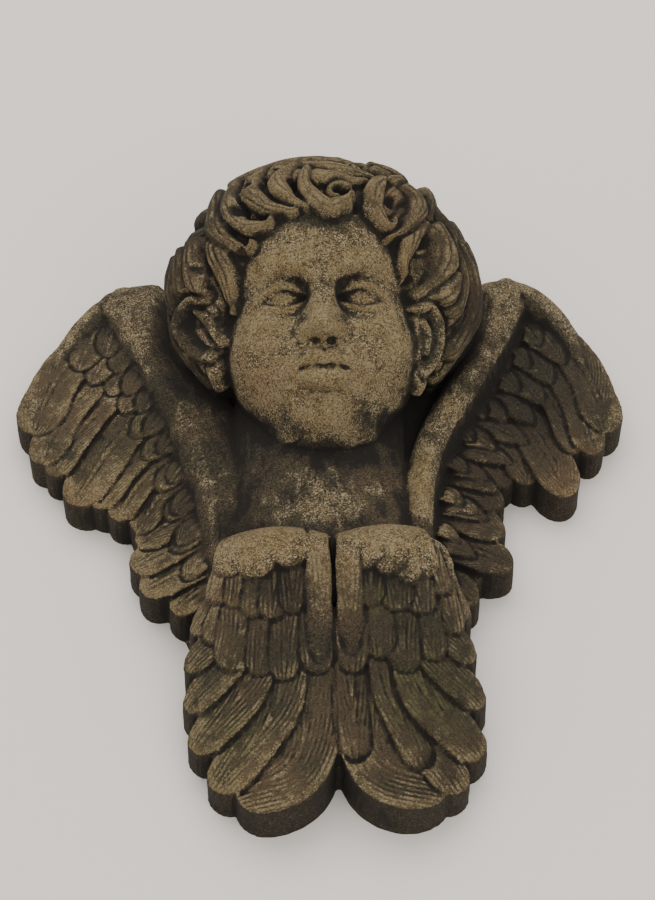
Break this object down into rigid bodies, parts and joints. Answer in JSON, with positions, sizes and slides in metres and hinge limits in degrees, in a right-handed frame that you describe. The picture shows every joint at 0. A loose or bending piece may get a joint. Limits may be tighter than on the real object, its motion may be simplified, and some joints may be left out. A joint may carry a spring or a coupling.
{
  "type": "winged putto head ornament",
  "caption": "Flat-backed stone ornament of a winged putto head, with spread upper wings and folded lower wings, carved as one block.",
  "frame": {"origin": "on the flat back, at the middle of the outline's width and height", "axes": "+Z out of the carving, away from the flat back; +Y towards the crown of the head; +X to the right of someone who faces it"},
  "size_m": [0.371, 0.413, 0.1441],
  "materials": {
    "weathered_stone": "matt weathered sandstone, dark dirt in the recesses and rubbed ochre high points"
  },
  "bodies": {
    "root": {"winged_putto_head": "weathered_stone"}
  },
  "joints": []
}
